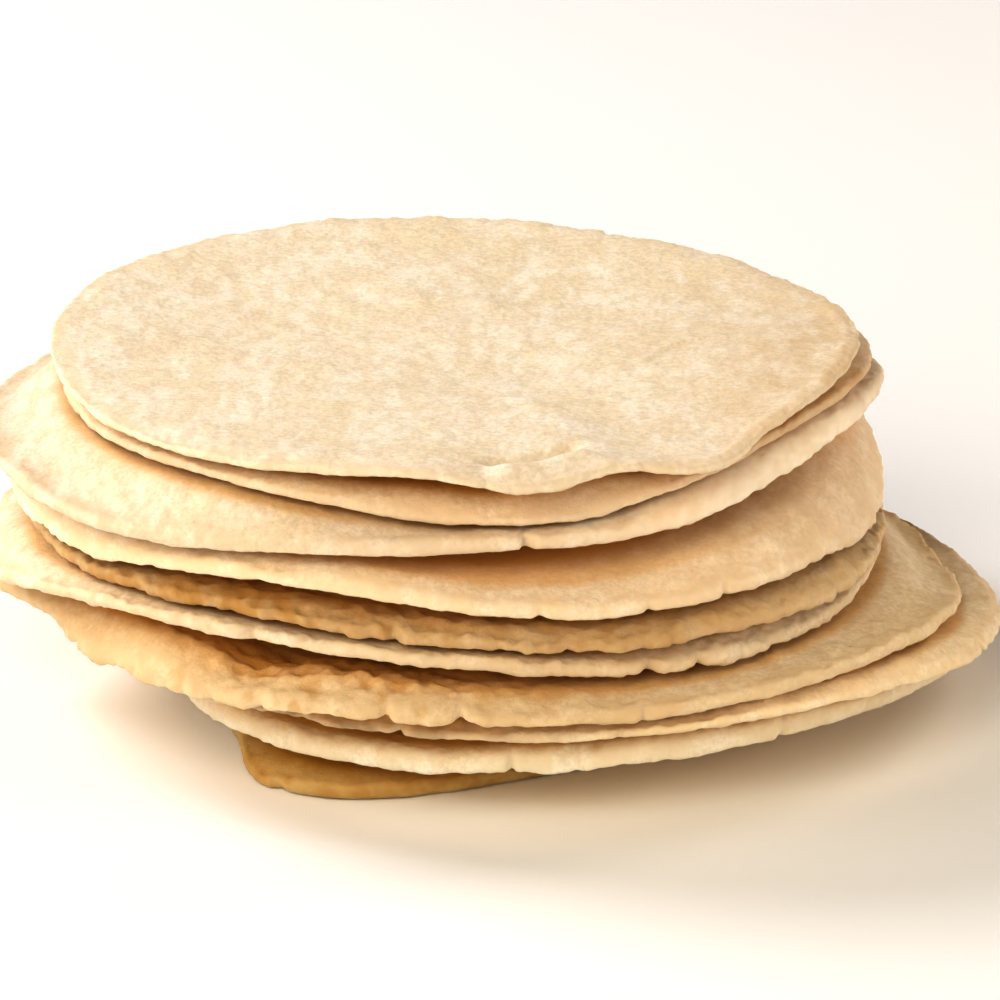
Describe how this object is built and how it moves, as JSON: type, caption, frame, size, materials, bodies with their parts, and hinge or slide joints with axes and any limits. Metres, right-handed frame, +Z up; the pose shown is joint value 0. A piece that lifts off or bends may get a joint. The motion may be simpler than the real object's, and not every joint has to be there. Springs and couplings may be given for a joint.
{
  "type": "corn tortilla stack",
  "caption": "Loose stack of soft round corn tortillas, uneven in size, with wavy curled rims and air between the sheets.",
  "frame": {"origin": "middle of the stack's footprint box, on the surface it rests on", "axes": "+Z up through the stack, +X to the side where the lower tortillas reach furthest, -Y to the front"},
  "size_m": [0.178, 0.1623, 0.0646],
  "materials": {
    "tortilla_01_top": "cooked corn dough, dry and matt, pale yellow with tan mottling",
    "tortilla_02": "cooked corn dough, dry and matt, pale yellow with tan mottling",
    "tortilla_03": "cooked corn dough, dry and matt, pale yellow with tan mottling",
    "tortilla_04": "cooked corn dough, dry and matt, pale yellow with tan mottling",
    "tortilla_05": "cooked corn dough, dry and matt, pale yellow with tan mottling",
    "tortilla_06": "cooked corn dough, dry and matt, pale yellow with tan mottling",
    "tortilla_07": "cooked corn dough, dry and matt, pale yellow with tan mottling",
    "tortilla_08": "cooked corn dough, dry and matt, pale yellow with tan mottling",
    "tortilla_09": "cooked corn dough, dry and matt, pale yellow with tan mottling",
    "tortilla_10_bottom": "cooked corn dough, dry and matt, pale yellow with tan mottling"
  },
  "bodies": {
    "root": {"tortilla_01_top": "tortilla_01_top", "tortilla_02": "tortilla_02", "tortilla_03": "tortilla_03", "tortilla_04": "tortilla_04", "tortilla_05": "tortilla_05", "tortilla_06": "tortilla_06", "tortilla_07": "tortilla_07", "tortilla_08": "tortilla_08", "tortilla_09": "tortilla_09", "tortilla_10_bottom": "tortilla_10_bottom"}
  },
  "joints": []
}
